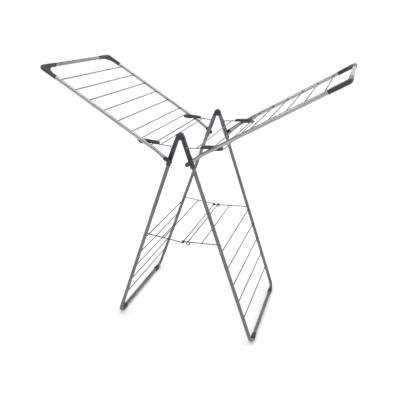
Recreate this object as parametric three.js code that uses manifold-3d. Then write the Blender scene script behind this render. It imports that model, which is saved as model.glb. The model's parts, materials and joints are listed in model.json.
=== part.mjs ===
// A free-standing clothes drying rack: two leg frames hinged at two peaks, two raised wings, the wire
// struts that hold the wings up, and a low shelf of two wire halves that spreads the legs.
// Millimetres, +Z up, +X to the right, -Y to the front. The origin is on the floor under the middle.
import * as THREE from "three";
import { mergeVertices } from "three/addons/utils/BufferGeometryUtils.js";
import Module from "manifold-3d";

const wasm = await Module();
wasm.setup();

// ---- Driving dimensions ---------------------------------------------------------------------------

const HUB_HEIGHT = 925; // peak pivots above the floor
const LEG_LEAN = 19.3; // degrees from upright, each leg frame
const LEG_OFFSET = 9.6; // leg tube's centre line beside the line through its peak pivot
const FRAME_DEPTH = 484; // between the centre lines of the front and back leg tubes
const CLOSED_ANGLE = 2.6; // degrees between the leg frames when the rack is closed

const LEG_TUBE_RADIUS = 8;
const WING_TUBE_RADIUS = 7.5;
const TUBE_WALL = 1;
const WIRE_RADIUS = 2.2;
const TUBE_SIDES = 12;
const WIRE_SIDES = 8;
const SOCKET_SIDES = 16; // plastic sleeves over the tubes
const FIT = 0.3; // gap between pieces that touch

const BASE_BAR_HEIGHT = 13; // base bar's centre line above the floor
const BASE_CORNER_RADIUS = 30;
const FOOT_LENGTH = 34;
const FOOT_RADIUS = 10.4;
const FOOT_FLAT = 6.5; // half width of the flat that stands on the floor
const LEG_RAIL_COUNT = 5;
const LEG_RAIL_FIRST = 515.4; // from the peak pivot down the leg
const LEG_RAIL_PITCH = 82.7;

const SLEEVE_LENGTH = 135; // from the peak pivot down the leg
const SLEEVE_WALL = 1.2;
const SLEEVE_LIP = 1; // how far the channel's side walls reach past the tube's centre line
const SLEEVE_CORNER = 3;
const COLLAR_LENGTH = 44; // wider upper stretch of the sleeve
const COLLAR_STEP = 1.2;
const LUG_RADIUS = 15;
const LUG_DEPTH = 15; // both lugs of a peak together
const SHOULDER_DROP = 52; // where the tapered shoulder meets the collar's outer edge
const LUG_GAP = 0.4;
const LUG_SIDES = 24;
const PEAK_PIN_RADIUS = 4;
const PEAK_PIN_HEAD = 7.5;

const WING_PIVOT_DROP = 108.5; // from the peak pivot down the leg to the wing's pivot
const WING_RISE = 30.8; // degrees above level, wing's straight stretch
const WING_BEND = 7; // degrees the inner stretch is steeper
const WING_BEND_RADIUS = 160;
const WING_INNER_LENGTH = 66; // pivot to bend
const WING_STRAIGHT_LENGTH = 581.6; // bend to the end bar's centre line
const WING_GAP = 6; // between the sleeve's face and the wing tube
const WING_RAIL_FIRST = 93; // from the end bar's centre line
const WING_RAIL_PITCH = 73;
const WING_RAIL_COUNT = 6; // evenly spaced rails
const WING_INNER_RAIL = 552.5; // last rail, past the strut, from the end bar's centre line
const CORNER_SIDE_REACH = 75; // corner piece along the side tube
const CORNER_END_REACH = 88; // corner piece along the end bar
const CORNER_WALL = 1.2;
const CORNER_BEND = 11; // centre line of the elbow's bend
const CORNER_WEB = 7; // thickness of the web in its inner angle
const CORNER_WEB_SIDE = 62; // where the web leaves the side tube
const CORNER_WEB_END = 66; // where the web leaves the end bar
const CORNER_SOCKET_START = 14; // tube ends stop this far short of the corner
const CAP_WALL = 1.2;
const CAP_REACH = 21; // end cap from the pivot along the tube
const CAP_TAIL = 17; // end cap past the pivot
const CAP_TUBE_START = 11; // tube's end inside the cap, from the pivot
const CAP_HALF_WIDTH = 8.5;
const CAP_PADDLE = 7.4; // thickness of the flat stretch over the pivot
const WING_STUD_RADIUS = 3.9;

const CLIP_STATION = 115; // clip's pivot from the wing's pivot, along the straight stretch
const CLIP_INNER_LENGTH = 52;
const CLIP_OUTER_LENGTH = 35;
const CLIP_TOP = 10; // above the wire
const CLIP_BOTTOM = 7.5; // below the wire, outer half
const CLIP_TIP = 6; // half height of the clip's ends
const CLIP_DEPTH = 14;
const CLIP_OPEN_SIDE = 1; // inner half ends here under the wire, clear of the last rail
const CLIP_STUD_RADIUS = 2.9;
const STRUT_RISE = 4.2; // degrees above level
const STRUT_TIP_SETBACK = 2; // strut's tip outwards from the leg tube's centre line
const STRUT_FACE_GAP = 0.5; // between the strut's arm and the sleeve's face
const STRUT_OUTER_REACH = 42.8; // arm from the clip's pivot to the strut's end wire
const STRUT_CROSS_WIRE = 64.5; // cross wire inwards from the clip's pivot
const STRUT_CORNER_RADIUS = 5;
const SADDLE_RADIUS = 3.5; // moulded rest under each strut tip
const SADDLE_INSET = 4; // from the strut's tip to its rest

const SHELF_MIDDLE_HEIGHT = 450; // hinge rod between the shelf halves
const SHELF_PIVOT_DROP = 491.4; // shelf's outer pivots, from the peak pivot down the leg
const SHELF_SIDE_GAP = 3.4; // between the leg tube and the outer shelf arm
const SHELF_CROSS_WIRE = 87; // from the hinge rod
const SHELF_NEAR_WIRE = 24; // right half's cross wire beside the hinge rod
const SHELF_LOOP_RADIUS = 7.5; // centre line of the loop beside that wire
const SHELF_EYE_RADIUS = 4.7; // centre line of the eye round the hinge rod
const HINGE_ROD_RADIUS = 2; // inside the eyes
const HINGE_ROD_TIP = 3; // radius of the rod's capped ends
const WELD_LIFT = 3.2; // a cross wire lies on its arms and sinks in a little at the weld

// ---- Sizes that follow ----------------------------------------------------------------------------

const DEG = Math.PI / 180;
const legY = FRAME_DEPTH / 2;
const lean = LEG_LEAN * DEG;
const sleeveInside = LEG_TUBE_RADIUS + FIT;
const sleeveHalfWidth = sleeveInside + SLEEVE_WALL;
const sleeveFace = legY + sleeveHalfWidth + FIT; // outer face of the hinge sleeves
const lugInside = sleeveFace - LUG_DEPTH;
const lugMiddle = sleeveFace - LUG_DEPTH / 2;
const legTubeTop = LUG_RADIUS + 2;
const baseDrop = (HUB_HEIGHT + LEG_OFFSET * Math.sin(lean) - BASE_BAR_HEIGHT) / Math.cos(lean);
const legRailEnd = legY - LEG_TUBE_RADIUS - FIT;
const wingY = sleeveFace + WING_GAP + WING_TUBE_RADIUS;
const wingRailEnd = wingY - WING_TUBE_RADIUS - FIT;
const wingBend = WING_BEND * DEG;
const bendX = WING_INNER_LENGTH * Math.cos(wingBend);
const wingLineZ = WING_INNER_LENGTH * Math.sin(wingBend);
const wingEndX = bendX + WING_STRAIGHT_LENGTH;
const tubeHole = WING_TUBE_RADIUS + FIT;
const strutY = sleeveFace + WIRE_RADIUS + STRUT_FACE_GAP;
const shelfArmY = legY - LEG_TUBE_RADIUS - SHELF_SIDE_GAP - WIRE_RADIUS;
const shelfLoopY = shelfArmY - 2 * WIRE_RADIUS - FIT;
const shelfInnerArmY = shelfLoopY - 2 * WIRE_RADIUS + 0.2;

// A point of a leg frame (distance down the leg, distance outwards from the pivot's line), seen in
// its side's frame, where +X is outwards.
function legPoint(drop, out = LEG_OFFSET) {
  const x = drop * Math.sin(lean) + out * Math.cos(lean);
  const z = HUB_HEIGHT - drop * Math.cos(lean) + out * Math.sin(lean);
  return new THREE.Vector3(x, 0, z);
}

// A point of a raised wing (its own x along the straight stretch, z up from it), in its side's frame.
const wingPivot = legPoint(WING_PIVOT_DROP);
function wingPoint(x, z) {
  const rise = WING_RISE * DEG;
  const dx = x * Math.cos(rise) - z * Math.sin(rise);
  const dz = x * Math.sin(rise) + z * Math.cos(rise);
  return new THREE.Vector3(wingPivot.x + dx, 0, wingPivot.z + dz);
}

// The strut's arm from the clip's pivot to its tip, which lies over the hinge sleeve.
const clipPivot = wingPoint(CLIP_STATION, wingLineZ);
const strutRise = STRUT_RISE * DEG;
const clipFromLeg = clipPivot.x * Math.cos(lean) + (clipPivot.z - HUB_HEIGHT) * Math.sin(lean) - LEG_OFFSET;
const strutInnerReach = (clipFromLeg - STRUT_TIP_SETBACK) / Math.cos(lean - strutRise);

// ---- Shape helpers --------------------------------------------------------------------------------

// A curve that is given by its stations, so that a sweep steps exactly from one to the next.
class StationCurve extends THREE.Curve {
  constructor(stations) {
    super();
    this.stations = stations;
  }

  index(u) {
    return Math.round(u * (this.stations.length - 1));
  }

  getPoint(u, target = new THREE.Vector3()) {
    return target.copy(this.stations[this.index(u)]);
  }

  getPointAt(u, target) {
    return this.getPoint(u, target);
  }

  getTangentAt(u, target = new THREE.Vector3()) {
    const i = this.index(u);
    const last = this.stations.length - 1;
    target.set(0, 0, 0);
    if (i > 0) target.add(this.stations[i].clone().sub(this.stations[i - 1]).normalize());
    if (i < last) target.add(this.stations[i + 1].clone().sub(this.stations[i]).normalize());
    return target.normalize();
  }
}

// Stations of a polyline whose corners are rounded to one radius.
function roundedPath(points, radius, steps = 4) {
  const stations = [points[0]];
  for (let i = 1; i < points.length - 1; i++) {
    const corner = points[i];
    const back = points[i - 1].clone().sub(corner).normalize();
    const ahead = points[i + 1].clone().sub(corner).normalize();
    const half = back.angleTo(ahead) / 2;
    const inwards = back.clone().add(ahead).normalize();
    const centre = corner.clone().addScaledVector(inwards, radius / Math.sin(half));
    const reach = radius / Math.tan(half);
    const from = corner.clone().addScaledVector(back, reach).sub(centre);
    const to = corner.clone().addScaledVector(ahead, reach).sub(centre);
    const turn = from.angleTo(to);
    for (let k = 0; k <= steps; k++) {
      const a = Math.sin(turn * (1 - k / steps)) / Math.sin(turn);
      const b = Math.sin((turn * k) / steps) / Math.sin(turn);
      stations.push(centre.clone().addScaledVector(from, a).addScaledVector(to, b));
    }
  }
  stations.push(points[points.length - 1]);
  return stations;
}

function polygon(radius, sides) {
  const points = [];
  for (let i = 0; i < sides; i++) {
    const angle = (2 * Math.PI * (i + 0.5)) / sides;
    points.push(new THREE.Vector2(radius * Math.cos(angle), radius * Math.sin(angle)));
  }
  return points;
}

function sweep(stations, radius, sides, bore = 0) {
  const section = new THREE.Shape(polygon(radius, sides));
  if (bore > 0) section.holes.push(new THREE.Path(polygon(bore, sides)));
  const extrudePath = new StationCurve(stations);
  return new THREE.ExtrudeGeometry(section, { steps: stations.length - 1, extrudePath, bevelEnabled: false });
}

function tube(stations, radius) {
  return sweep(stations, radius, TUBE_SIDES, radius - TUBE_WALL);
}

function wire(stations) {
  return sweep(stations, WIRE_RADIUS, WIRE_SIDES);
}

// A round bar along Y.
function rodY(radius, x, z, y0, y1, sides = TUBE_SIDES) {
  return sweep([new THREE.Vector3(x, y0, z), new THREE.Vector3(x, y1, z)], radius, sides);
}

function ringY(radius, x, y, z) {
  return new THREE.TorusGeometry(radius, WIRE_RADIUS, WIRE_SIDES, 16).rotateX(Math.PI / 2).translate(x, y, z);
}

// A box from its lowest to its highest corner.
function block(x0, x1, y0, y1, z0, z1) {
  const geometry = new THREE.BoxGeometry(x1 - x0, Math.abs(y1 - y0), z1 - z0);
  return geometry.translate((x0 + x1) / 2, (y0 + y1) / 2, (z0 + z1) / 2);
}

// An outline in the XZ plane, given as a shape in (x, z), extruded along Y from y0 to y1.
function slabY(shape, y0, y1, curveSegments = 6) {
  const depth = Math.abs(y1 - y0);
  const geometry = new THREE.ExtrudeGeometry(shape, { depth, bevelEnabled: false, curveSegments });
  return geometry.rotateX(Math.PI / 2).translate(0, Math.max(y0, y1), 0);
}

function toSolid(geometry) {
  const bare = geometry.clone();
  bare.deleteAttribute("normal");
  bare.deleteAttribute("uv");
  const merged = mergeVertices(bare, 1e-4);
  const vertProperties = new Float32Array(merged.attributes.position.array);
  const triVerts = new Uint32Array(merged.index.array);
  return new wasm.Manifold(new wasm.Mesh({ numProp: 3, vertProperties, triVerts }));
}

function toGeometry(solid) {
  const mesh = solid.getMesh();
  const geometry = new THREE.BufferGeometry();
  geometry.setAttribute("position", new THREE.BufferAttribute(mesh.vertProperties, 3));
  geometry.setIndex(new THREE.BufferAttribute(mesh.triVerts, 1));
  const faceted = geometry.toNonIndexed();
  faceted.computeVertexNormals();
  return faceted;
}

// Joins the first list of geometries and cuts the second list from it.
function carve(added, cut = []) {
  let solid = toSolid(added[0]);
  for (const piece of added.slice(1)) solid = solid.add(toSolid(piece));
  for (const piece of cut) solid = solid.subtract(toSolid(piece));
  return toGeometry(solid);
}

// What the first list of geometries, joined, shares with another one.
function shared(added, envelope) {
  let solid = toSolid(added[0]);
  for (const piece of added.slice(1)) solid = solid.add(toSolid(piece));
  return toGeometry(solid.intersect(toSolid(envelope)));
}

// ---- Materials ------------------------------------------------------------------------------------

const legSteel = new THREE.MeshStandardMaterial({ color: 0x7c8086, roughness: 0.35, metalness: 0.85 });
const wingSteel = new THREE.MeshStandardMaterial({ color: 0x9a9da2, roughness: 0.3, metalness: 0.85 });
const wireSteel = new THREE.MeshStandardMaterial({ color: 0x8c8e92, roughness: 0.35, metalness: 0.85 });
const slatePlastic = new THREE.MeshStandardMaterial({ color: 0x3a4048, roughness: 0.5, metalness: 0 });

// ---- Assembly -------------------------------------------------------------------------------------

const rack = new THREE.Group();
rack.name = "clothes_drying_rack";

function addMesh(parent, name, geometry, material) {
  const mesh = new THREE.Mesh(geometry, material);
  mesh.name = name;
  parent.add(mesh);
}

// A side's frame has +X outwards. The left one is the right one turned half round, so the sign of Y
// that is the front differs.
const SIDES = [
  { side: "left", turn: Math.PI, frontSign: 1, outerLug: true },
  { side: "right", turn: 0, frontSign: -1, outerLug: false },
];

function ends(side) {
  return [
    { end: "front", sign: side.frontSign },
    { end: "back", sign: -side.frontSign },
  ];
}

function childGroup(parent, origin, degreesUp) {
  const group = new THREE.Group();
  group.position.copy(origin);
  group.rotation.y = -degreesUp * DEG;
  parent.add(group);
  return group;
}

// One bent tube: front leg, base bar and back leg. It has a hole in each leg's inner wall for the shelf.
function legFrameTube() {
  const y = legY;
  const x = LEG_OFFSET;
  const corners = [
    new THREE.Vector3(x, -y, -legTubeTop),
    new THREE.Vector3(x, -y, -baseDrop),
    new THREE.Vector3(x, y, -baseDrop),
    new THREE.Vector3(x, y, -legTubeTop),
  ];
  const bent = tube(roundedPath(corners, BASE_CORNER_RADIUS, 5), LEG_TUBE_RADIUS);
  const hole = WIRE_RADIUS + 2 * FIT;
  const drill = rodY(hole, x, -SHELF_PIVOT_DROP, -y + FIT, y - FIT);
  return carve([bent], [drill]);
}

// The channel of a hinge sleeve, open towards the middle of the rack, in the leg frame's X and Y.
function sleeveSection(sign, extra) {
  const section = new THREE.Shape();
  const inner = LEG_OFFSET - sleeveHalfWidth;
  const outer = LEG_OFFSET + sleeveHalfWidth + extra;
  const lip = sign * (legY - SLEEVE_LIP);
  const face = sign * sleeveFace;
  const corner = face - sign * SLEEVE_CORNER;
  section.moveTo(inner, lip);
  section.lineTo(inner, corner);
  section.quadraticCurveTo(inner, face, inner + SLEEVE_CORNER, face);
  section.lineTo(outer - SLEEVE_CORNER, face);
  section.quadraticCurveTo(outer, face, outer, corner);
  section.lineTo(outer, lip);
  section.lineTo(LEG_OFFSET + sleeveInside, lip);
  section.absarc(LEG_OFFSET, sign * legY, sleeveInside, 0, sign * Math.PI, sign < 0);
  section.lineTo(LEG_OFFSET - sleeveInside, lip);
  section.closePath();
  return section;
}

function sleeveRun(sign, extra, top, bottom) {
  const options = { depth: bottom - top, bevelEnabled: false, curveSegments: 6 };
  return new THREE.ExtrudeGeometry(sleeveSection(sign, extra), options).translate(0, 0, -bottom);
}

// Side view of a sleeve: its outer edge runs on from the lug's round in a straight shoulder.
function sleeveEnvelope(sign) {
  const outer = LEG_OFFSET + sleeveHalfWidth + COLLAR_STEP;
  const reach = Math.hypot(outer, SHOULDER_DROP);
  const tangent = Math.acos(LUG_RADIUS / reach) - Math.atan2(SHOULDER_DROP, outer);
  const shape = new THREE.Shape();
  shape.moveTo(outer, -SHOULDER_DROP);
  shape.absarc(0, 0, LUG_RADIUS, tangent, Math.PI, false);
  shape.lineTo(-LUG_RADIUS, -SLEEVE_LENGTH - 5);
  shape.lineTo(outer, -SLEEVE_LENGTH - 5);
  shape.closePath();
  return slabY(shape, sign * (legY - 20), sign * (sleeveFace + 20), 12);
}

// Hinge sleeve: a channel over the top of one leg, with a round lug that pivots on the peak pin and
// a hole low in its face for the wing's stud. The two sleeves of a peak have their lugs side by side.
function hingeSleeve(sign, outerLug) {
  const lugNear = outerLug ? lugMiddle + LUG_GAP / 2 : lugInside;
  const lugFar = outerLug ? sleeveFace : lugMiddle - LUG_GAP / 2;
  const otherNear = outerLug ? lugInside - 1 : lugMiddle - LUG_GAP / 2;
  const otherFar = outerLug ? lugMiddle + LUG_GAP / 2 : sleeveFace + 1;
  const lug = rodY(LUG_RADIUS, 0, 0, sign * lugNear, sign * lugFar, LUG_SIDES);
  const neckOut = LEG_OFFSET + sleeveHalfWidth + COLLAR_STEP;
  const neckY = [sign * lugNear, sign * lugFar].sort((a, b) => a - b);
  const neck = block(0, neckOut, neckY[0], neckY[1], -legTubeTop + FIT, -2);
  const saddleAt = strutTipOnLeg();
  const saddle = rodY(SADDLE_RADIUS, saddleAt.x, saddleAt.z, sign * (sleeveFace - 1), sign * (strutY + 1));
  const otherLug = rodY(LUG_RADIUS + LUG_GAP, 0, 0, sign * otherNear, sign * otherFar, LUG_SIDES);
  const pinHole = rodY(PEAK_PIN_RADIUS + FIT, 0, 0, sign * (lugInside - 2), sign * (sleeveFace + 2));
  const studHole = rodY(
    WING_STUD_RADIUS + 0.5,
    LEG_OFFSET,
    -WING_PIVOT_DROP,
    sign * (legY + 1),
    sign * (sleeveFace + 2),
  );
  const halfClosed = (CLOSED_ANGLE / 2) * DEG;
  const otherSide = block(-40, 0, sign * legY - 40, sign * legY + 40, -SLEEVE_LENGTH - 20, -LUG_RADIUS);
  otherSide.translate(FIT / 2, 0, 0).rotateY(halfClosed);
  const channel = sleeveRun(sign, 0, legTubeTop - 4, SLEEVE_LENGTH);
  const collar = sleeveRun(sign, COLLAR_STEP, legTubeTop - 4, COLLAR_LENGTH);
  const tapered = shared([channel, collar, neck], sleeveEnvelope(sign));
  const body = carve([tapered], [otherSide, otherLug]);
  return carve([body, lug, saddle], [pinHole, studHole]);
}

// The point of the leg frame just under a strut's tip, where the sleeve has its rest.
function strutTipOnLeg() {
  const reach = strutInnerReach - SADDLE_INSET;
  const drop = WIRE_RADIUS + SADDLE_RADIUS + 2 * FIT;
  const x = clipPivot.x - reach * Math.cos(strutRise) + drop * Math.sin(strutRise);
  const z = clipPivot.z - reach * Math.sin(strutRise) - drop * Math.cos(strutRise) - HUB_HEIGHT;
  const c = Math.cos(lean);
  const s = Math.sin(lean);
  return { x: x * c + z * s, z: z * c - x * s };
}

// Foot: a plastic sleeve round the base bar, with a flat underside on the floor.
function foot(sign) {
  const bar = legPoint(baseDrop);
  const section = new THREE.Shape();
  const shoulder = -35 * DEG;
  section.moveTo(bar.x - FOOT_FLAT, 0);
  section.lineTo(bar.x + FOOT_FLAT, 0);
  section.absarc(bar.x, BASE_BAR_HEIGHT, FOOT_RADIUS, shoulder, Math.PI - shoulder, false);
  section.closePath();
  const hole = new THREE.Path();
  hole.absarc(bar.x, BASE_BAR_HEIGHT, LEG_TUBE_RADIUS + 2 * FIT, 0, 2 * Math.PI, true);
  section.holes.push(hole);
  const outer = legY - BASE_CORNER_RADIUS - 1;
  return slabY(section, sign * outer, sign * (outer - FOOT_LENGTH), 12);
}

function buildLegs(group, side) {
  const frame = childGroup(group, new THREE.Vector3(0, 0, HUB_HEIGHT), LEG_LEAN);
  addMesh(frame, `leg_frame_${side.side}`, legFrameTube(), legSteel);
  for (const { end, sign } of ends(side)) {
    addMesh(frame, `hinge_sleeve_${end}_${side.side}`, hingeSleeve(sign, side.outerLug), slatePlastic);
    addMesh(group, `foot_${end}_${side.side}`, foot(sign), slatePlastic);
  }
  for (let i = 0; i < LEG_RAIL_COUNT; i++) {
    const drop = LEG_RAIL_FIRST + i * LEG_RAIL_PITCH;
    const rail = rodY(WIRE_RADIUS, LEG_OFFSET, -drop, -legRailEnd, legRailEnd, WIRE_SIDES);
    addMesh(frame, `leg_rail_${side.side}_${i + 1}`, rail, wireSteel);
  }
}

// Peak pin: a rivet with a head on the sleeve's face and a smaller one inside.
function peakPin() {
  const inside = lugInside - FIT;
  const outside = sleeveFace + FIT;
  const profile = [
    new THREE.Vector2(0, inside - 2),
    new THREE.Vector2(PEAK_PIN_HEAD - 1.5, inside - 2),
    new THREE.Vector2(PEAK_PIN_HEAD - 1, inside),
    new THREE.Vector2(PEAK_PIN_RADIUS, inside),
    new THREE.Vector2(PEAK_PIN_RADIUS, outside),
    new THREE.Vector2(PEAK_PIN_HEAD, outside),
    new THREE.Vector2(PEAK_PIN_HEAD - 1.5, outside + 1.8),
    new THREE.Vector2(0, outside + 2.4),
  ];
  return new THREE.LatheGeometry(profile, 16);
}

// Side tube of a wing, with a hole in its inner wall for the clip's stud.
function wingTube(sign) {
  const y = sign * wingY;
  const start = new THREE.Vector3(Math.cos(wingBend), 0, Math.sin(wingBend)).multiplyScalar(CAP_TUBE_START);
  const corners = [
    new THREE.Vector3(start.x, y, start.z),
    new THREE.Vector3(bendX, y, wingLineZ),
    new THREE.Vector3(wingEndX - CORNER_SOCKET_START, y, wingLineZ),
  ];
  const bent = tube(roundedPath(corners, WING_BEND_RADIUS, 3), WING_TUBE_RADIUS);
  const hole = CLIP_STUD_RADIUS + 0.5;
  const drill = rodY(hole, CLIP_STATION, wingLineZ, y - sign * (WING_TUBE_RADIUS + 2), y - sign * 3);
  return carve([bent], [drill]);
}

// Corner piece: a moulded elbow over the ends of the side tube and the end bar, with a curved web
// in its inner angle. Drawn from the corner of the two centre lines, inwards along each.
function wingCorner(sign) {
  const flat = (alongTube, alongBar) => [wingEndX - alongTube, sign * (wingY - alongBar)];
  const at = (alongTube, alongBar) => new THREE.Vector3(...flat(alongTube, alongBar), wingLineZ);
  const corners = [at(CORNER_SIDE_REACH, 0), at(0, 0), at(0, CORNER_END_REACH)];
  const elbow = sweep(roundedPath(corners, CORNER_BEND), tubeHole + CORNER_WALL, SOCKET_SIDES);
  const outline = new THREE.Shape();
  outline.moveTo(...flat(CORNER_BEND, 1));
  outline.lineTo(...flat(CORNER_WEB_SIDE, 1));
  outline.lineTo(...flat(CORNER_WEB_SIDE, tubeHole));
  outline.quadraticCurveTo(...flat(2 * tubeHole, 2 * tubeHole), ...flat(tubeHole, CORNER_WEB_END));
  outline.lineTo(...flat(1, CORNER_WEB_END));
  outline.lineTo(...flat(1, CORNER_BEND));
  outline.closePath();
  const options = { depth: CORNER_WEB, bevelEnabled: false, curveSegments: 6 };
  const web = new THREE.ExtrudeGeometry(outline, options);
  web.translate(0, 0, wingLineZ - CORNER_WEB / 2);
  const socketStart = CORNER_SOCKET_START - FIT;
  const sockets = [
    sweep([at(CORNER_SIDE_REACH + 5, 0), at(socketStart, 0)], tubeHole, TUBE_SIDES),
    sweep([at(0, CORNER_END_REACH + 5), at(0, socketStart)], tubeHole, TUBE_SIDES),
  ];
  return carve([elbow, web], sockets);
}

// End cap: it plugs over the wing tube's inner end and flattens to a paddle over the pivot, with a
// stud into the hinge sleeve. Left and right paddles lie side by side, so they pass as the legs close.
function wingEndCap(sign, outerPaddle) {
  const collar = tubeHole + CAP_WALL;
  const body = sweep(
    [new THREE.Vector3(CAP_TUBE_START - 3, sign * wingY, 0), new THREE.Vector3(CAP_REACH, sign * wingY, 0)],
    collar,
    SOCKET_SIDES,
  );
  const socket = sweep(
    [
      new THREE.Vector3(CAP_TUBE_START - FIT, sign * wingY, 0),
      new THREE.Vector3(CAP_REACH + 5, sign * wingY, 0),
    ],
    tubeHole,
    TUBE_SIDES,
  );
  const outline = new THREE.Shape();
  outline.moveTo(CAP_TUBE_START - 1, CAP_HALF_WIDTH);
  outline.lineTo(-CAP_TAIL + CAP_HALF_WIDTH, CAP_HALF_WIDTH);
  outline.absarc(-CAP_TAIL + CAP_HALF_WIDTH, 0, CAP_HALF_WIDTH, Math.PI / 2, (3 * Math.PI) / 2, false);
  outline.lineTo(CAP_TUBE_START - 1, -CAP_HALF_WIDTH);
  outline.closePath();
  const near = outerPaddle ? wingY + LUG_GAP : wingY - LUG_GAP - CAP_PADDLE;
  const paddle = slabY(outline, sign * near, sign * (near + CAP_PADDLE));
  const studTip = legY + LEG_TUBE_RADIUS + 0.8;
  const stud = rodY(WING_STUD_RADIUS, 0, 0, sign * studTip, sign * (near + 1));
  const cap = carve([body, paddle, stud], [socket]);
  return cap.rotateY(-wingBend);
}

function buildWing(group, side) {
  const wing = childGroup(group, wingPivot, WING_RISE);
  for (const { end, sign } of ends(side)) {
    addMesh(wing, `wing_tube_${end}_${side.side}`, wingTube(sign), wingSteel);
    addMesh(wing, `wing_corner_${end}_${side.side}`, wingCorner(sign), slatePlastic);
    addMesh(wing, `wing_end_cap_${end}_${side.side}`, wingEndCap(sign, !side.outerLug), slatePlastic);
  }
  const barEnd = wingY - CORNER_SOCKET_START;
  const barStations = [
    new THREE.Vector3(wingEndX, -barEnd, wingLineZ),
    new THREE.Vector3(wingEndX, barEnd, wingLineZ),
  ];
  addMesh(wing, `wing_end_bar_${side.side}`, tube(barStations, WING_TUBE_RADIUS), wingSteel);
  const places = [];
  for (let i = 0; i < WING_RAIL_COUNT; i++) places.push(WING_RAIL_FIRST + i * WING_RAIL_PITCH);
  places.push(WING_INNER_RAIL);
  places.forEach((inwards, i) => {
    const rail = rodY(WIRE_RADIUS, wingEndX - inwards, wingLineZ, -wingRailEnd, wingRailEnd, WIRE_SIDES);
    addMesh(wing, `wing_rail_${side.side}_${i + 1}`, rail, wireSteel);
  });
}

// Strut: a U of wire, its arms from the sleeves out through the clips to an end wire, with one cross
// wire welded on top of the arms.
function strutWire() {
  const corners = [
    new THREE.Vector3(-strutInnerReach, -strutY, 0),
    new THREE.Vector3(STRUT_OUTER_REACH, -strutY, 0),
    new THREE.Vector3(STRUT_OUTER_REACH, strutY, 0),
    new THREE.Vector3(-strutInnerReach, strutY, 0),
  ];
  const frame = wire(roundedPath(corners, STRUT_CORNER_RADIUS));
  const cross = rodY(WIRE_RADIUS, -STRUT_CROSS_WIRE, WELD_LIFT, -strutY - 1, strutY + 1, WIRE_SIDES);
  return carve([frame, cross]);
}

// Clip: a tapered block over the strut's arm, open below towards its inner end, with a stud that
// pivots in the wing tube's inner wall.
function strutClip(sign) {
  const outer = wingY - WING_TUBE_RADIUS - FIT;
  const inner = outer - CLIP_DEPTH;
  const outline = new THREE.Shape();
  outline.moveTo(-CLIP_INNER_LENGTH, -CLIP_OPEN_SIDE);
  outline.lineTo(-CLIP_BOTTOM, -CLIP_OPEN_SIDE);
  outline.lineTo(-CLIP_BOTTOM / 2, -CLIP_BOTTOM);
  outline.lineTo(CLIP_OUTER_LENGTH * 0.6, -CLIP_BOTTOM);
  outline.lineTo(CLIP_OUTER_LENGTH, -CLIP_TIP);
  outline.lineTo(CLIP_OUTER_LENGTH, CLIP_TIP);
  outline.lineTo(CLIP_OUTER_LENGTH * 0.3, CLIP_TOP);
  outline.lineTo(-CLIP_INNER_LENGTH * 0.9, CLIP_TOP);
  outline.lineTo(-CLIP_INNER_LENGTH, CLIP_TIP);
  outline.closePath();
  const body = slabY(outline, sign * inner, sign * outer);
  const stud = rodY(CLIP_STUD_RADIUS, 0, 0, sign * (outer - 0.5), sign * (outer + TUBE_WALL + 1));
  const bore = sweep(
    [
      new THREE.Vector3(-CLIP_INNER_LENGTH - 5, sign * strutY, 0),
      new THREE.Vector3(CLIP_OUTER_LENGTH + 5, sign * strutY, 0),
    ],
    WIRE_RADIUS + FIT,
    WIRE_SIDES,
  );
  return carve([body, stud], [bore]);
}

function buildStrut(group, side) {
  const strut = childGroup(group, clipPivot, STRUT_RISE);
  addMesh(strut, `strut_${side.side}`, strutWire(), wireSteel);
  for (const { end, sign } of ends(side)) {
    addMesh(strut, `strut_clip_${end}_${side.side}`, strutClip(sign), slatePlastic);
  }
}

// Shelf half: two arms and their cross wires, welded. The left half carries the hinge rod and its
// arms turn out into the leg tubes. The right half's arms end in eyes round the rod.
function shelfHalf(side, length) {
  const isLeft = side.side === "left";
  const armY = isLeft ? shelfArmY : shelfInnerArmY;
  const tipY = isLeft ? legY - LEG_TUBE_RADIUS + 4 : legY - LEG_TUBE_RADIUS - 2 * FIT;
  const innerEnd = isLeft ? 0 : SHELF_EYE_RADIUS - 1;
  const pieces = [];
  for (const sign of [-1, 1]) {
    const corners = [
      new THREE.Vector3(innerEnd, sign * armY, 0),
      new THREE.Vector3(length, sign * armY, 0),
      new THREE.Vector3(length, sign * tipY, 0),
    ];
    pieces.push(wire(roundedPath(corners, WIRE_RADIUS + 1, 3)));
    if (isLeft) continue;
    pieces.push(ringY(SHELF_EYE_RADIUS, 0, sign * armY, 0));
    pieces.push(ringY(SHELF_LOOP_RADIUS, SHELF_NEAR_WIRE - 1, sign * shelfLoopY, -WELD_LIFT));
  }
  pieces.push(rodY(WIRE_RADIUS, SHELF_CROSS_WIRE, WELD_LIFT, -armY - 1, armY + 1, WIRE_SIDES));
  if (isLeft) {
    const rodEnd = legY - LEG_TUBE_RADIUS - 1;
    pieces.push(rodY(HINGE_ROD_RADIUS, 0, 0, -rodEnd + 1, rodEnd - 1, WIRE_SIDES));
    for (const sign of [-1, 1]) pieces.push(rodY(HINGE_ROD_TIP, 0, 0, sign * (rodEnd - 4), sign * rodEnd));
  } else {
    pieces.push(rodY(WIRE_RADIUS, SHELF_NEAR_WIRE, WELD_LIFT, -armY - 1, armY + 1, WIRE_SIDES));
  }
  return carve(pieces);
}

function buildShelf(group, side) {
  const outer = legPoint(SHELF_PIVOT_DROP);
  const length = Math.hypot(outer.x, outer.z - SHELF_MIDDLE_HEIGHT);
  const rise = Math.atan2(outer.z - SHELF_MIDDLE_HEIGHT, outer.x) / DEG;
  const shelf = childGroup(group, new THREE.Vector3(0, 0, SHELF_MIDDLE_HEIGHT), rise);
  addMesh(shelf, `shelf_half_${side.side}`, shelfHalf(side, length), wireSteel);
}

for (const side of SIDES) {
  const group = new THREE.Group();
  group.rotation.z = side.turn;
  rack.add(group);
  buildLegs(group, side);
  buildWing(group, side);
  buildStrut(group, side);
  buildShelf(group, side);
}

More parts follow.
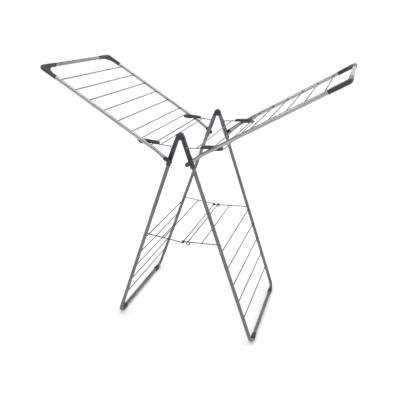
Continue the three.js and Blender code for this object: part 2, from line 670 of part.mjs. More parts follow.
for (const [end, turn] of [
  ["front", Math.PI],
  ["back", 0],
]) {
  const pin = new THREE.Group();
  pin.position.z = HUB_HEIGHT;
  pin.rotation.z = turn;
  rack.add(pin);
  addMesh(pin, `peak_pin_${end}`, peakPin(), slatePlastic);
}

export default rack;
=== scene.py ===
"""A folding clothes drying rack: two tube leg frames hinged at two peaks, two raised wings of wire
rails, the struts and clips that hold the wings up, and a low wire shelf between the legs."""
import json
import math

import bmesh
import bpy
from mathutils import Matrix, Vector


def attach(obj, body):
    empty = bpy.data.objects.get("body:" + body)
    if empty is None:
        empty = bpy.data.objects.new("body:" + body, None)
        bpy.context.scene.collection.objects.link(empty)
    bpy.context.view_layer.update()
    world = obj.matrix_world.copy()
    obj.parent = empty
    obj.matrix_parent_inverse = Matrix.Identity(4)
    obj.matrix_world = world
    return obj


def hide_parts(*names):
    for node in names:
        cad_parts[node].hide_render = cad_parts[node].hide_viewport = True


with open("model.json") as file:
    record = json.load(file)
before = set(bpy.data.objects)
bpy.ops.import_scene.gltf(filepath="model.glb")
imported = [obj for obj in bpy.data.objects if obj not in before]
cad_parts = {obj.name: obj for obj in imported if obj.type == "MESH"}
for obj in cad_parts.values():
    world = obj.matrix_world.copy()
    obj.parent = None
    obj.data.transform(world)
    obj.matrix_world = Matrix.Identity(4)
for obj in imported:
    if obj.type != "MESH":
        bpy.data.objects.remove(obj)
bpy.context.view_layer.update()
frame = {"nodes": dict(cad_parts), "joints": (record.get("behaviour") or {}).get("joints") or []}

SIDES = ("left", "right")
ENDS = ("front", "back")

# ---- Camera, floor and light ----------------------------------------------------------------------
# The rack stands on a pale studio floor under a bright ceiling and three soft panels, seen from the
# front right, a little from above. The walls are dimmer, which gives the tubes their dark edges.

CAMERA_PLACE = (0.6255, -1.8095, 1.3613)
CAMERA_AIM = Vector((-0.3215, 0.8613, -0.3934))

camera_data = bpy.data.cameras.new("camera")
camera_data.lens = 39.83
camera_data.shift_x = 0.0245
camera_data.shift_y = 0.009
camera_data.clip_end = 50
camera = bpy.data.objects.new("camera", camera_data)
camera.location = CAMERA_PLACE
camera.rotation_euler = CAMERA_AIM.to_track_quat("-Z", "Y").to_euler()
bpy.context.scene.collection.objects.link(camera)
bpy.context.scene.camera = camera


def principled(name, colour, roughness, metallic=0.0):
    """A new material with a Principled shader, its node tree and the shader node."""
    material = bpy.data.materials.new(name)
    material.use_nodes = True
    tree = material.node_tree
    shader = tree.nodes["Principled BSDF"]
    shader.inputs["Base Color"].default_value = (*colour, 1)
    shader.inputs["Roughness"].default_value = roughness
    shader.inputs["Metallic"].default_value = metallic
    return material, tree, shader


def link(tree, source, target):
    """Joins an output socket to an input socket."""
    tree.links.new(source, target)


def object_noise(tree, scale, detail=3.0, stretch=(1, 1, 1)):
    """Noise on Object coordinates, with a scale per metre."""
    place = tree.nodes.new("ShaderNodeTexCoord")
    mapping = tree.nodes.new("ShaderNodeMapping")
    mapping.inputs["Scale"].default_value = stretch
    noise = tree.nodes.new("ShaderNodeTexNoise")
    noise.inputs["Scale"].default_value = scale
    noise.inputs["Detail"].default_value = detail
    link(tree, place.outputs["Object"], mapping.inputs["Vector"])
    link(tree, mapping.outputs["Vector"], noise.inputs["Vector"])
    return noise.outputs["Fac"]


def ramp(tree, source, stops):
    """A colour ramp from (position, colour) stops."""
    node = tree.nodes.new("ShaderNodeValToRGB")
    elements = node.color_ramp.elements
    elements[0].position, elements[0].color = stops[0][0], (*stops[0][1], 1)
    elements[1].position, elements[1].color = stops[-1][0], (*stops[-1][1], 1)
    for position, colour in stops[1:-1]:
        elements.new(position).color = (*colour, 1)
    link(tree, source, node.inputs["Fac"])
    return node.outputs["Color"]


def bump(tree, source, strength, distance):
    """A bump from a height, in metres."""
    node = tree.nodes.new("ShaderNodeBump")
    node.inputs["Strength"].default_value = strength
    node.inputs["Distance"].default_value = distance
    link(tree, source, node.inputs["Height"])
    return node.outputs["Normal"]


FLOOR_REACH = 14
FLOOR_DARK = (0.92, 0.92, 0.92)
FLOOR_LIGHT = (0.94, 0.94, 0.94)
FLOOR_GRAIN = 3.0  # the noise's scale per metre

floor_mesh = bmesh.new()
bmesh.ops.create_grid(floor_mesh, x_segments=1, y_segments=1, size=FLOOR_REACH)
floor_data = bpy.data.meshes.new("studio_floor")
floor_mesh.to_mesh(floor_data)
floor_mesh.free()
floor = bpy.data.objects.new("studio_floor", floor_data)
bpy.context.scene.collection.objects.link(floor)
floor_paint, floor_tree, floor_shader = principled("studio_floor_paint", FLOOR_LIGHT, 0.9)
floor_shader.inputs["Specular IOR Level"].default_value = 0.1
floor_grain = object_noise(floor_tree, FLOOR_GRAIN)
floor_colour = ramp(floor_tree, floor_grain, [(0.3, FLOOR_DARK), (0.7, FLOOR_LIGHT)])
link(floor_tree, floor_colour, floor_shader.inputs["Base Color"])
floor_data.materials.append(floor_paint)

CEILING = 1.93  # brightness overhead
BACKDROP = (1.02 / CEILING,) * 3  # the band behind the floor's far edge, as a share of the ceiling
WALL = (0.36 / CEILING,) * 3
OVERHEAD = (1, 1, 1)

world = bpy.data.worlds.new("studio")
world.use_nodes = True
sky = world.node_tree
sky_place = sky.nodes.new("ShaderNodeTexCoord")
sky_split = sky.nodes.new("ShaderNodeSeparateXYZ")
link(sky, sky_place.outputs["Generated"], sky_split.inputs["Vector"])
sky_stops = [(0.27, BACKDROP), (0.42, WALL), (0.68, WALL), (0.82, OVERHEAD)]
sky_colour = ramp(sky, sky_split.outputs["Z"], sky_stops)
link(sky, sky_colour, sky.nodes["Background"].inputs["Color"])
sky.nodes["Background"].inputs["Strength"].default_value = CEILING
bpy.context.scene.world = world
bpy.context.scene.view_settings.view_transform = "Standard"


def soft_light(name, place, aim, width, height, power):
    """A rectangular studio light that faces a point."""
    data = bpy.data.lights.new(name, "AREA")
    data.shape = "RECTANGLE"
    data.size = width
    data.size_y = height
    data.energy = power
    light = bpy.data.objects.new(name, data)
    light.location = place
    light.rotation_euler = (Vector(aim) - Vector(place)).to_track_quat("-Z", "Y").to_euler()
    bpy.context.scene.collection.objects.link(light)


RACK_MIDDLE = (0, 0, 0.6)
soft_light("key_light", (-1.8, -1.8, 3.2), RACK_MIDDLE, 0.8, 0.8, 12)
soft_light("side_light", (3.0, 0.4, 1.8), RACK_MIDDLE, 0.3, 2.4, 12)
soft_light("back_light", (0.6, 3.0, 2.6), RACK_MIDDLE, 2.0, 0.4, 10)

# ---- Leg frames -----------------------------------------------------------------------------------
# Each leg frame is one steel tube, bent into a deep U: two legs and the base bar that joins them at
# the floor. It is coated silver grey, and its upper ends plug into the hinge sleeves.

joints = {joint["name"]: joint for joint in frame["joints"]}
hub = Vector(joints["leg_fold"]["pos_m"])

LEG_LEAN = math.radians(19.3)
LEG_OFFSET = 0.0096
LEG_Y = 0.242
LEG_RADIUS = 0.008
LEG_TOP = 0.017
BASE_BAR_HEIGHT = 0.013
BASE_BEND = 0.030
TUBE_SIDES = 32
BEND_STEP = math.radians(9)  # the turn between two rings of a bend
SMOOTH_BELOW = math.radians(40)  # sharper edges between faces stay crisp

base_drop = (hub.z + LEG_OFFSET * math.sin(LEG_LEAN) - BASE_BAR_HEIGHT) / math.cos(LEG_LEAN)


def outward(side, pivot, rise):
    """The frame of a piece on one side: x outwards along it, z up from it. The left is the right
    turned half round, so the front is at +y on the left and at -y on the right."""
    turned = Matrix.Rotation(math.pi if side == "left" else 0.0, 4, "Z")
    return turned @ Matrix.Translation((abs(pivot[0]), 0, pivot[2])) @ Matrix.Rotation(-rise, 4, "Y")


def end_sign(side, end):
    """The sign of y of the front or back end in a side's frame."""
    return 1 if (side == "left") == (end == "front") else -1


def bent_bar(bm, path, radius, bend=0.0, sides=TUBE_SIDES, turn_step=BEND_STEP):
    """A round bar along straight runs, drawn out from its first end and spun round each bend."""
    points = [Vector(point) for point in path]
    along = (points[1] - points[0]).normalized()
    stand = Matrix.Translation(points[0]) @ along.to_track_quat("Z", "Y").to_matrix().to_4x4()
    made = bmesh.ops.create_circle(bm, cap_ends=True, segments=sides, radius=radius, matrix=stand)
    rim = list({edge for vert in made["verts"] for edge in vert.link_edges})
    place = points[0]
    for index in range(1, len(points)):
        corner = points[index]
        last = index == len(points) - 1
        ahead = along if last else (points[index + 1] - corner).normalized()
        angle = along.angle(ahead)
        stop = corner - along * (0 if last else bend * math.tan(angle / 2))
        drawn = bmesh.ops.extrude_edge_only(bm, edges=rim)["geom"]
        rim = [item for item in drawn if isinstance(item, bmesh.types.BMEdge)]
        moved = [item for item in drawn if isinstance(item, bmesh.types.BMVert)]
        bmesh.ops.translate(bm, verts=moved, vec=stop - place)
        rim = [edge for edge in rim if edge.verts[0] in moved and edge.verts[1] in moved]
        place = stop
        if last:
            continue
        axis = along.cross(ahead).normalized()
        centre = stop + axis.cross(along) * bend
        steps = max(1, round(angle / turn_step))
        spun = bmesh.ops.spin(
            bm, geom=rim, cent=centre, axis=axis, angle=angle, steps=steps, use_duplicate=False
        )
        rim = [item for item in spun["geom_last"] if isinstance(item, bmesh.types.BMEdge)]
        place = corner + ahead * bend * math.tan(angle / 2)
        along = ahead
    bmesh.ops.contextual_create(bm, geom=rim)


def make_piece(name, bm, material, slot, body, *nodes):
    """Turns a finished bmesh into a piece that rides on a body and stands for its CAD nodes."""
    bmesh.ops.recalc_face_normals(bm, faces=bm.faces)
    for face in bm.faces:
        face.smooth = True
    for edge in bm.edges:
        edge.smooth = edge.calc_face_angle(math.pi) < SMOOTH_BELOW
    data = bpy.data.meshes.new(name)
    bm.to_mesh(data)
    bm.free()
    data.materials.append(material)
    piece = bpy.data.objects.new(name, data)
    bpy.context.scene.collection.objects.link(piece)
    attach(piece, body)
    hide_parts(*nodes)
    return piece


def coated_steel(name, dark, light, roughness, metallic):
    """Silver-grey coating over steel: a slow drift of tone, rub marks and a faint orange-peel ripple."""
    material, tree, shader = principled(name, light, roughness, metallic=metallic)
    drift = object_noise(tree, 9.0, detail=4.0)
    link(tree, ramp(tree, drift, [(0.35, dark), (0.65, light)]), shader.inputs["Base Color"])
    rub = object_noise(tree, 60.0, detail=5.0, stretch=(1, 1, 0.3))
    low, high = roughness - 0.05, roughness + 0.08
    rough = ramp(tree, rub, [(0.35, (low, low, low)), (0.7, (high, high, high))])
    link(tree, rough, shader.inputs["Roughness"])
    peel = object_noise(tree, 420.0, detail=1.0)
    link(tree, bump(tree, peel, 0.12, 0.0004), shader.inputs["Normal"])
    return material


leg_steel = coated_steel("leg_steel", (0.130, 0.136, 0.147), (0.168, 0.174, 0.187), 0.2, 0.9)

for side in SIDES:
    legs = outward(side, hub, LEG_LEAN)
    bm = bmesh.new()
    corners = [
        (LEG_OFFSET, -LEG_Y, -LEG_TOP),
        (LEG_OFFSET, -LEG_Y, -base_drop),
        (LEG_OFFSET, LEG_Y, -base_drop),
        (LEG_OFFSET, LEG_Y, -LEG_TOP),
    ]
    bent_bar(bm, corners, LEG_RADIUS, BASE_BEND)
    bmesh.ops.transform(bm, matrix=legs, verts=bm.verts)
    make_piece(f"leg_tube_{side}", bm, leg_steel, "leg_steel", f"legs_{side}", f"leg_frame_{side}")

# ---- Rails ----------------------------------------------------------------------------------------
# Every rail is a straight steel wire, butt-welded between two tubes and coated with them. The welds
# stand out a little as small beads, and each wire darkens towards its ends: a darker weld with
# painted shade where it meets its tube.

WIRE_RADIUS = 0.0022
WIRE_SIDES = 16
WELD_RADIUS = 0.0042
WELD_LENGTH = 0.0018
WELD_SHADE = 0.2  # the colour at a weld, a darker weld with painted shade at the tube, as a share of the wire's
SHADE_FROM = 0.008  # how far from its welded end a rail begins to darken
SHADE_TO = 0.002  # how far from that end it is darkest
RAIL_SINK = 0.0006  # how far a rail's end goes into its tube
NO_WELD_SHADE = 0.40  # a welded end beyond every wire, so that the wire gets no weld tone or painted shade and keeps one tone
LEG_RAIL_FIRST = 0.5154
LEG_RAIL_PITCH = 0.0827
LEG_RAIL_COUNT = 5


def weld_bead(bm, place):
    """A small bead of weld, flattened along the wire."""
    made = bmesh.ops.create_uvsphere(bm, u_segments=12, v_segments=8, radius=WELD_RADIUS)
    bmesh.ops.scale(bm, vec=(1, WELD_LENGTH / WELD_RADIUS, 1), verts=made["verts"])
    bmesh.ops.translate(bm, vec=place, verts=made["verts"])


def rail_steel(name, light, weld_start):
    """Coated wire whose colour darkens near the welds at both ends, by distance along Y: a darker weld
    with painted shade where it meets its tube.
    """
    material, tree, shader = principled(name, light, 0.38, metallic=0.5)
    place = tree.nodes.new("ShaderNodeTexCoord")
    split = tree.nodes.new("ShaderNodeSeparateXYZ")
    size = tree.nodes.new("ShaderNodeMath")
    size.operation = "ABSOLUTE"
    near = tree.nodes.new("ShaderNodeMapRange")
    near.inputs["From Min"].default_value = weld_start - SHADE_FROM
    near.inputs["From Max"].default_value = weld_start - SHADE_TO
    link(tree, place.outputs["Object"], split.inputs["Vector"])
    link(tree, split.outputs["Y"], size.inputs[0])
    link(tree, size.outputs["Value"], near.inputs["Value"])
    dark = tuple(value * WELD_SHADE for value in light)
    weld_and_shade = ramp(tree, near.outputs["Result"], [(0.0, light), (1.0, dark)])
    patch = object_noise(tree, 40.0, detail=3.0)
    tone = ramp(tree, patch, [(0.3, (0.86, 0.86, 0.86)), (0.7, (1, 1, 1))])
    mix = tree.nodes.new("ShaderNodeMix")
    mix.data_type = "RGBA"
    mix.blend_type = "MULTIPLY"
    mix.inputs["Factor"].default_value = 1.0
    link(tree, weld_and_shade, mix.inputs["A"])
    link(tree, tone, mix.inputs["B"])
    link(tree, mix.outputs["Result"], shader.inputs["Base Color"])
    ripple = object_noise(tree, 700.0, detail=1.0)
    link(tree, bump(tree, ripple, 0.1, 0.0002), shader.inputs["Normal"])
    return material


def straight_rail(matrix, x, z, half):
    """A wire along Y with a bead at each end, in a side's frame."""
    bm = bmesh.new()
    bent_bar(bm, [(x, -half, z), (x, half, z)], WIRE_RADIUS, sides=WIRE_SIDES)
    for sign in (-1, 1):
        weld_bead(bm, (x, sign * half, z))
    bmesh.ops.transform(bm, matrix=matrix, verts=bm.verts)
    return bm


leg_rail_end = LEG_Y - LEG_RADIUS + RAIL_SINK
leg_wire = rail_steel("leg_rail_wire", (0.030, 0.032, 0.036), leg_rail_end)
for side in SIDES:
    legs = outward(side, hub, LEG_LEAN)
    for number in range(1, LEG_RAIL_COUNT + 1):
        drop = LEG_RAIL_FIRST + (number - 1) * LEG_RAIL_PITCH
        bm = straight_rail(legs, LEG_OFFSET, -drop, leg_rail_end)
        node = f"leg_rail_{side}_{number}"
        make_piece(f"{node}_wire", bm, leg_wire, "wire_steel", f"legs_{side}", node)

# ---- Plastic feet ---------------------------------------------------------------------------------
# Four moulded sleeves on the base bars carry the rack. Each has a narrow flat underside and rounded
# edges, and is made of dark slate plastic.

FOOT_EDGE = 0.0012
MOULD_EDGE = 0.0007
MERGE_WITHIN = 0.000002
FLAT_BELOW = math.radians(1)
ROUND_ABOVE = math.radians(32)


def merged_copy(node):
    """A bmesh of a CAD node's solid with its loose triangles joined into flat faces."""
    bm = bmesh.new()
    bm.from_mesh(frame["nodes"][node].data)
    bmesh.ops.remove_doubles(bm, verts=bm.verts, dist=MERGE_WITHIN)
    bmesh.ops.dissolve_limit(bm, angle_limit=FLAT_BELOW, verts=bm.verts, edges=bm.edges)
    return bm


def round_edges(bm, width=MOULD_EDGE):
    """Rounds every sharp edge of a moulding."""
    sharp = [edge for edge in bm.edges if edge.calc_face_angle(0) > ROUND_ABOVE]
    bmesh.ops.bevel(
        bm,
        geom=sharp,
        offset=width,
        offset_type="OFFSET",
        affect="EDGES",
        segments=2,
        profile=0.5,
        material=-1,
        clamp_overlap=True,
    )


def moulded_plastic(name, dark, light, roughness):
    """Moulded plastic: a fine spark-eroded grain, a slow drift of tone and duller rubbed spots."""
    material, tree, shader = principled(name, light, roughness)
    drift = object_noise(tree, 14.0, detail=3.0)
    link(tree, ramp(tree, drift, [(0.3, dark), (0.7, light)]), shader.inputs["Base Color"])
    rub = object_noise(tree, 90.0, detail=5.0)
    low, high = roughness - 0.08, roughness + 0.1
    rough = ramp(tree, rub, [(0.35, (low, low, low)), (0.7, (high, high, high))])
    link(tree, rough, shader.inputs["Roughness"])
    grain = object_noise(tree, 1500.0, detail=2.0)
    link(tree, bump(tree, grain, 0.18, 0.0003), shader.inputs["Normal"])
    shader.inputs["Specular IOR Level"].default_value = 0.5
    return material


slate_plastic = moulded_plastic("slate_plastic", (0.010, 0.016, 0.026), (0.022, 0.030, 0.044), 0.38)

for side in SIDES:
    for end in ENDS:
        node = f"foot_{end}_{side}"
        bm = merged_copy(node)
        round_edges(bm, FOOT_EDGE)
        make_piece(f"{node}_sleeve", bm, slate_plastic, "slate_plastic", f"legs_{side}", node)

# ---- Hinge sleeves and peak pins ------------------------------------------------------------------
# A moulded channel covers the top of each leg. The two channels of a peak end in round lugs, side by
# side on one riveted pin, and each carries the pivot of a wing low in its face.

RIVET_EDGE = 0.0004

for side in SIDES:
    for end in ENDS:
        node = f"hinge_sleeve_{end}_{side}"
        bm = merged_copy(node)
        round_edges(bm)
        make_piece(f"{node}_moulding", bm, slate_plastic, "slate_plastic", f"legs_{side}", node)

for end in ENDS:
    node = f"peak_pin_{end}"
    bm = merged_copy(node)
    round_edges(bm, RIVET_EDGE)
    make_piece(f"{node}_rivet", bm, slate_plastic, "slate_plastic", "legs_left", node)

# ---- Wing tubes and end bars ----------------------------------------------------------------------
# A wing's two side tubes bend once near the legs, where they flatten out towards the end bar. They
# are the legs' coating, painted brighter than the legs as painted light where they face up to the
# lamps, and the end bar's tone lies between the two, also as painted light.

WING_Y = 0.2653
WING_RADIUS = 0.0075
WING_RISE = math.radians(30.8)
WING_BEND = math.radians(7)
WING_INNER = 0.066
WING_STRAIGHT = 0.5816
WING_BEND_RADIUS = 0.160
WING_BEND_STEP = math.radians(2)
CAP_TUBE_START = 0.011
CORNER_SOCKET = 0.014

wing_line = WING_INNER * math.sin(WING_BEND)
wing_bend_x = WING_INNER * math.cos(WING_BEND)
wing_end = wing_bend_x + WING_STRAIGHT

# painted light: the wing tubes and end bars are the legs' coating, painted lighter where they face up to
# the lamps
painted_light_bar_steel = coated_steel("end_bar_steel", (0.20, 0.206, 0.218), (0.25, 0.257, 0.27), 0.2, 0.92)
wing_steel = coated_steel("wing_steel", (0.31, 0.32, 0.335), (0.37, 0.38, 0.395), 0.17, 0.95)

for side in SIDES:
    wing = outward(side, joints[f"wing_fold_{side}"]["pos_m"], WING_RISE)
    body = f"wing_{side}"
    for end in ENDS:
        y = end_sign(side, end) * WING_Y
        bm = bmesh.new()
        corners = [
            (CAP_TUBE_START * math.cos(WING_BEND), y, CAP_TUBE_START * math.sin(WING_BEND)),
            (wing_bend_x, y, wing_line),
            (wing_end - CORNER_SOCKET, y, wing_line),
        ]
        bent_bar(bm, corners, WING_RADIUS, WING_BEND_RADIUS, turn_step=WING_BEND_STEP)
        bmesh.ops.transform(bm, matrix=wing, verts=bm.verts)
        node = f"wing_tube_{end}_{side}"
        make_piece(f"{node}_steel", bm, wing_steel, "wing_steel", body, node)
    bm = bmesh.new()
    reach = WING_Y - CORNER_SOCKET
    bent_bar(bm, [(wing_end, -reach, wing_line), (wing_end, reach, wing_line)], WING_RADIUS)
    bmesh.ops.transform(bm, matrix=wing, verts=bm.verts)
    node = f"wing_end_bar_{side}"
    make_piece(f"{node}_steel", bm, painted_light_bar_steel, "wing_steel", body, node)

# ---- Wing rails -----------------------------------------------------------------------------------
# Seven wires per wing, six evenly spaced and one nearer the legs, past the strut.

WING_RAIL_FIRST = 0.093
WING_RAIL_PITCH = 0.073
WING_RAIL_COUNT = 7
WING_INNER_RAIL = 0.5525

wing_rail_end = WING_Y - WING_RADIUS + RAIL_SINK
# painted light: the wing's wires are the leg rails' wire coat, painted lighter where they face up to the
# lamps
painted_light_wing_wire = rail_steel("wing_rail_wire", (0.11, 0.113, 0.12), wing_rail_end)
for side in SIDES:
    wing = outward(side, joints[f"wing_fold_{side}"]["pos_m"], WING_RISE)
    for number in range(1, WING_RAIL_COUNT + 1):
        inwards = WING_RAIL_FIRST + (number - 1) * WING_RAIL_PITCH
        if number == WING_RAIL_COUNT:
            inwards = WING_INNER_RAIL
        bm = straight_rail(wing, wing_end - inwards, wing_line, wing_rail_end)
        node = f"wing_rail_{side}_{number}"
        make_piece(f"{node}_wire", bm, painted_light_wing_wire, "wire_steel", f"wing_{side}", node)

# ---- Wing corners ---------------------------------------------------------------------------------
# A moulded elbow joins each side tube to the end bar. Its two sleeves taper to a lip at each mouth,
# and a flat web with a curved edge fills its inner angle.

CORNER_SIDE = 0.075
CORNER_END = 0.088
CORNER_BEND = 0.011
CORNER_RADIUS = 0.009
SIDE_TAPER = 0.044
END_TAPER = 0.030
MOUTH_RADIUS = 0.0083
LIP_RADIUS = 0.0088
LIP_LENGTH = 0.003
WEB_SIDE = 0.062
WEB_END = 0.066
WEB_INNER = 0.0156  # the point in the inner angle that the web's edge curves towards
WEB_HALF = 0.0035
WEB_EDGE_STEPS = 14
WEB_INSET = 0.001  # how far the web's hidden edges keep from the elbow's centre lines and wall


def curve_point(start, middle, stop, share):
    """A point on a quadratic curve."""
    return start.lerp(middle, share).lerp(middle.lerp(stop, share), share)


def cone_along(bm, start, stop, wide, narrow):
    """A round taper between two points."""
    turn = (stop - start).to_track_quat("Z", "Y").to_matrix().to_4x4()
    place = Matrix.Translation((start + stop) / 2) @ turn
    depth = (stop - start).length
    bmesh.ops.create_cone(
        bm, cap_ends=True, segments=TUBE_SIDES, radius1=wide, radius2=narrow, depth=depth, matrix=place
    )


def plate(bm, outline, thickness):
    """A flat plate: an outline of points, filled and drawn out by a vector."""
    verts = [bmesh.ops.create_vert(bm, co=point)["vert"][0] for point in outline]
    edges = []
    for first, second in zip(verts, verts[1:] + verts[:1]):
        edges += bmesh.ops.contextual_create(bm, geom=[first, second])["edges"]
    face = bmesh.ops.contextual_create(bm, geom=edges)["faces"]
    raised = bmesh.ops.extrude_face_region(bm, geom=face, use_keep_orig=True)["geom"]
    moved = [item for item in raised if isinstance(item, bmesh.types.BMVert)]
    bmesh.ops.translate(bm, verts=moved, vec=thickness)


for side in SIDES:
    wing = outward(side, joints[f"wing_fold_{side}"]["pos_m"], WING_RISE)
    for end in ENDS:
        sign = end_sign(side, end)

        def corner_at(along_tube, along_bar):
            """A point by its distances from the corner along the side tube and the end bar."""
            return Vector((wing_end - along_tube, sign * (WING_Y - along_bar), wing_line))

        bm = bmesh.new()
        side_mouth = corner_at(CORNER_SIDE, 0)
        side_lip = corner_at(CORNER_SIDE - LIP_LENGTH, 0)
        side_shoulder = corner_at(CORNER_SIDE - SIDE_TAPER, 0)
        end_mouth = corner_at(0, CORNER_END)
        end_lip = corner_at(0, CORNER_END - LIP_LENGTH)
        end_shoulder = corner_at(0, CORNER_END - END_TAPER)
        bent_bar(bm, [side_shoulder, corner_at(0, 0), end_shoulder], CORNER_RADIUS, CORNER_BEND)
        cone_along(bm, side_shoulder, side_mouth, CORNER_RADIUS, MOUTH_RADIUS)
        cone_along(bm, end_shoulder, end_mouth, CORNER_RADIUS, MOUTH_RADIUS)
        cone_along(bm, side_lip, side_mouth, LIP_RADIUS, LIP_RADIUS)
        cone_along(bm, end_lip, end_mouth, LIP_RADIUS, LIP_RADIUS)
        web_start = corner_at(WEB_SIDE, CORNER_RADIUS - WEB_INSET)
        web_middle = corner_at(WEB_INNER, WEB_INNER)
        web_stop = corner_at(CORNER_RADIUS - WEB_INSET, WEB_END)
        outline = [corner_at(CORNER_BEND, WEB_INSET), corner_at(WEB_SIDE, WEB_INSET)]
        for step in range(WEB_EDGE_STEPS + 1):
            outline.append(curve_point(web_start, web_middle, web_stop, step / WEB_EDGE_STEPS))
        outline += [corner_at(WEB_INSET, WEB_END), corner_at(WEB_INSET, CORNER_BEND)]
        half = Vector((0, 0, WEB_HALF))
        plate(bm, [point - half for point in outline], 2 * half)
        bmesh.ops.transform(bm, matrix=wing, verts=bm.verts)
        node = f"wing_corner_{end}_{side}"
        make_piece(f"{node}_elbow", bm, slate_plastic, "slate_plastic", f"wing_{side}", node)

# ---- Wing end caps --------------------------------------------------------------------------------
# The inner end of each side tube plugs into a moulded cap that flattens to a paddle over the wing's
# pivot.

CAP_EDGE = 0.0008

for side in SIDES:
    for end in ENDS:
        node = f"wing_end_cap_{end}_{side}"
        bm = merged_copy(node)
        round_edges(bm, CAP_EDGE)
        make_piece(f"{node}_moulding", bm, slate_plastic, "slate_plastic", f"wing_{side}", node)

# ---- Struts and clips -----------------------------------------------------------------------------
# A strut is a U of wire with one cross wire welded on. Its arms rest on the hinge sleeves and run
# through clips that are pinned to the wing's side tubes. A clip has grip ribs on its inner face and
# a round boss opposite its pin.

STRUT_RISE = math.radians(4.2)
STRUT_Y = 0.2545
STRUT_INNER = 0.113
STRUT_OUTER = 0.0428
STRUT_CROSS = 0.0645
STRUT_CORNER = 0.005
CROSS_LIFT = 0.0032  # a cross wire lies on its arms, sunk in a little at the welds
CROSS_PAST = 0.001  # how far a cross wire reaches past the middle of each arm
CLIP_FACE = 0.2435  # a clip's inner face, from the middle of the rack
RIB_FIRST = -0.047
RIB_PITCH = 0.0055
RIB_COUNT = 4
RIB_SIZE = (0.0024, 0.0022, 0.0078)
RIB_LIFT = 0.0045
BOSS_RADIUS = 0.0052
BOSS_HEIGHT = 0.0018

strut_wire = rail_steel("strut_wire", (0.20, 0.205, 0.215), NO_WELD_SHADE)

for side in SIDES:
    strut = outward(side, joints[f"strut_turn_{side}"]["pos_m"], STRUT_RISE)
    bm = bmesh.new()
    corners = [
        (-STRUT_INNER, -STRUT_Y, 0),
        (STRUT_OUTER, -STRUT_Y, 0),
        (STRUT_OUTER, STRUT_Y, 0),
        (-STRUT_INNER, STRUT_Y, 0),
    ]
    bent_bar(bm, corners, WIRE_RADIUS, STRUT_CORNER, sides=WIRE_SIDES)
    cross = STRUT_Y + CROSS_PAST
    ends_of_cross = [(-STRUT_CROSS, -cross, CROSS_LIFT), (-STRUT_CROSS, cross, CROSS_LIFT)]
    bent_bar(bm, ends_of_cross, WIRE_RADIUS, sides=WIRE_SIDES)
    bmesh.ops.transform(bm, matrix=strut, verts=bm.verts)
    make_piece(f"strut_wire_{side}", bm, strut_wire, "wire_steel", f"strut_{side}", f"strut_{side}")
    for end in ENDS:
        node = f"strut_clip_{end}_{side}"
        bm = merged_copy(node)
        round_edges(bm)
        face = end_sign(side, end) * CLIP_FACE
        for number in range(RIB_COUNT):
            place = strut @ Matrix.Translation((RIB_FIRST + number * RIB_PITCH, face, RIB_LIFT))
            bmesh.ops.create_cube(bm, size=1, matrix=place @ Matrix.Diagonal((*RIB_SIZE, 1)))
        boss = strut @ Matrix.Translation((0, face, 0)) @ Matrix.Rotation(math.pi / 2, 4, "X")
        bmesh.ops.create_cone(
            bm,
            cap_ends=True,
            segments=TUBE_SIDES,
            radius1=BOSS_RADIUS,
            radius2=BOSS_RADIUS,
            depth=2 * BOSS_HEIGHT,
            matrix=boss,
        )
        make_piece(f"{node}_moulding", bm, slate_plastic, "slate_plastic", f"strut_{side}", node)

# ---- Shelf ----------------------------------------------------------------------------------------
# Two wire halves meet on a hinge rod in the middle, and their arms turn outwards at the legs. The
# right half's arms end in eyes round the rod, with a small ring beside each.

SHELF_SIDE_GAP = 0.0034
WIRE_FIT = 0.0003
SHELF_CORNER = 0.003
SHELF_CROSS = 0.087
SHELF_NEAR = 0.024
RING_RADIUS = 0.0075
RING_INWARDS = 0.001  # from the near cross wire to a small ring's middle
RING_STEPS = 28
EYE_RADIUS = 0.0047
EYE_WELD = 0.001  # how far an arm's end reaches into its eye
ROD_TIP = 0.003
TIP_LENGTH = 0.004
TIP_COVER = 0.001  # how far a tip reaches past the end of the rod's wire
ROD_REACH = 0.233
PIN_REACH = 0.238
RIGHT_REACH = 0.2334

shelf_y = LEG_Y - LEG_RADIUS - SHELF_SIDE_GAP - WIRE_RADIUS
ring_y = shelf_y - 2 * WIRE_RADIUS - WIRE_FIT
inner_y = ring_y - 2 * WIRE_RADIUS + WIRE_FIT / 2
shelf_middle = Vector(joints["shelf_bend"]["pos_m"])
shelf_outer = Vector(joints["shelf_lift"]["pos_m"])
shelf_length = (shelf_outer - shelf_middle).length
shelf_rise = math.atan2(shelf_outer.z - shelf_middle.z, abs(shelf_outer.x))
shelf_wire = rail_steel("shelf_wire", (0.060, 0.062, 0.068), NO_WELD_SHADE)


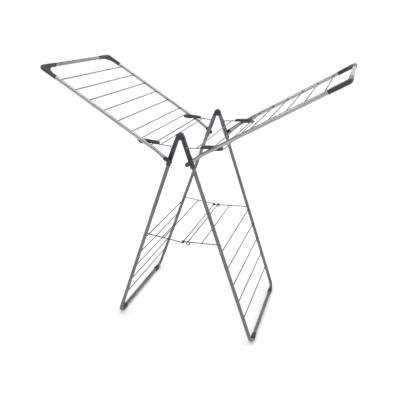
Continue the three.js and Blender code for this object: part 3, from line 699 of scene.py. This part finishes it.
def wire_ring(bm, radius, place):
    """A closed ring of wire round the Y direction."""
    start = Matrix.Translation(Vector(place) + Vector((radius, 0, 0)))
    made = bmesh.ops.create_circle(bm, segments=WIRE_SIDES, radius=WIRE_RADIUS, matrix=start)
    rim = list({edge for vert in made["verts"] for edge in vert.link_edges})
    turn = 2 * math.pi
    bmesh.ops.spin(
        bm, geom=rim, cent=place, axis=(0, 1, 0), angle=turn, steps=RING_STEPS, use_merge=True
    )


for side in SIDES:
    shelf = outward(side, shelf_middle, shelf_rise)
    is_left = side == "left"
    arm_y = shelf_y if is_left else inner_y
    tip_y = PIN_REACH if is_left else RIGHT_REACH
    bm = bmesh.new()
    for sign in (-1, 1):
        inner = 0 if is_left else EYE_RADIUS - EYE_WELD
        corners = [
            (inner, sign * arm_y, 0),
            (shelf_length, sign * arm_y, 0),
            (shelf_length, sign * tip_y, 0),
        ]
        bent_bar(bm, corners, WIRE_RADIUS, SHELF_CORNER, sides=WIRE_SIDES)
        if is_left:
            tip = [(0, sign * (ROD_REACH - TIP_LENGTH), 0), (0, sign * ROD_REACH, 0)]
            bent_bar(bm, tip, ROD_TIP, sides=WIRE_SIDES)
        else:
            wire_ring(bm, EYE_RADIUS, (0, sign * arm_y, 0))
            wire_ring(bm, RING_RADIUS, (SHELF_NEAR - RING_INWARDS, sign * ring_y, -CROSS_LIFT))
    cross = arm_y + CROSS_PAST
    far = [(SHELF_CROSS, -cross, CROSS_LIFT), (SHELF_CROSS, cross, CROSS_LIFT)]
    bent_bar(bm, far, WIRE_RADIUS, sides=WIRE_SIDES)
    if is_left:
        reach = ROD_REACH - TIP_COVER
        bent_bar(bm, [(0, -reach, 0), (0, reach, 0)], WIRE_RADIUS, sides=WIRE_SIDES)
    else:
        near = [(SHELF_NEAR, -cross, CROSS_LIFT), (SHELF_NEAR, cross, CROSS_LIFT)]
        bent_bar(bm, near, WIRE_RADIUS, sides=WIRE_SIDES)
    bmesh.ops.transform(bm, matrix=shelf, verts=bm.verts)
    make_piece(f"shelf_wire_{side}", bm, shelf_wire, "wire_steel", f"shelf_{side}", f"shelf_half_{side}")
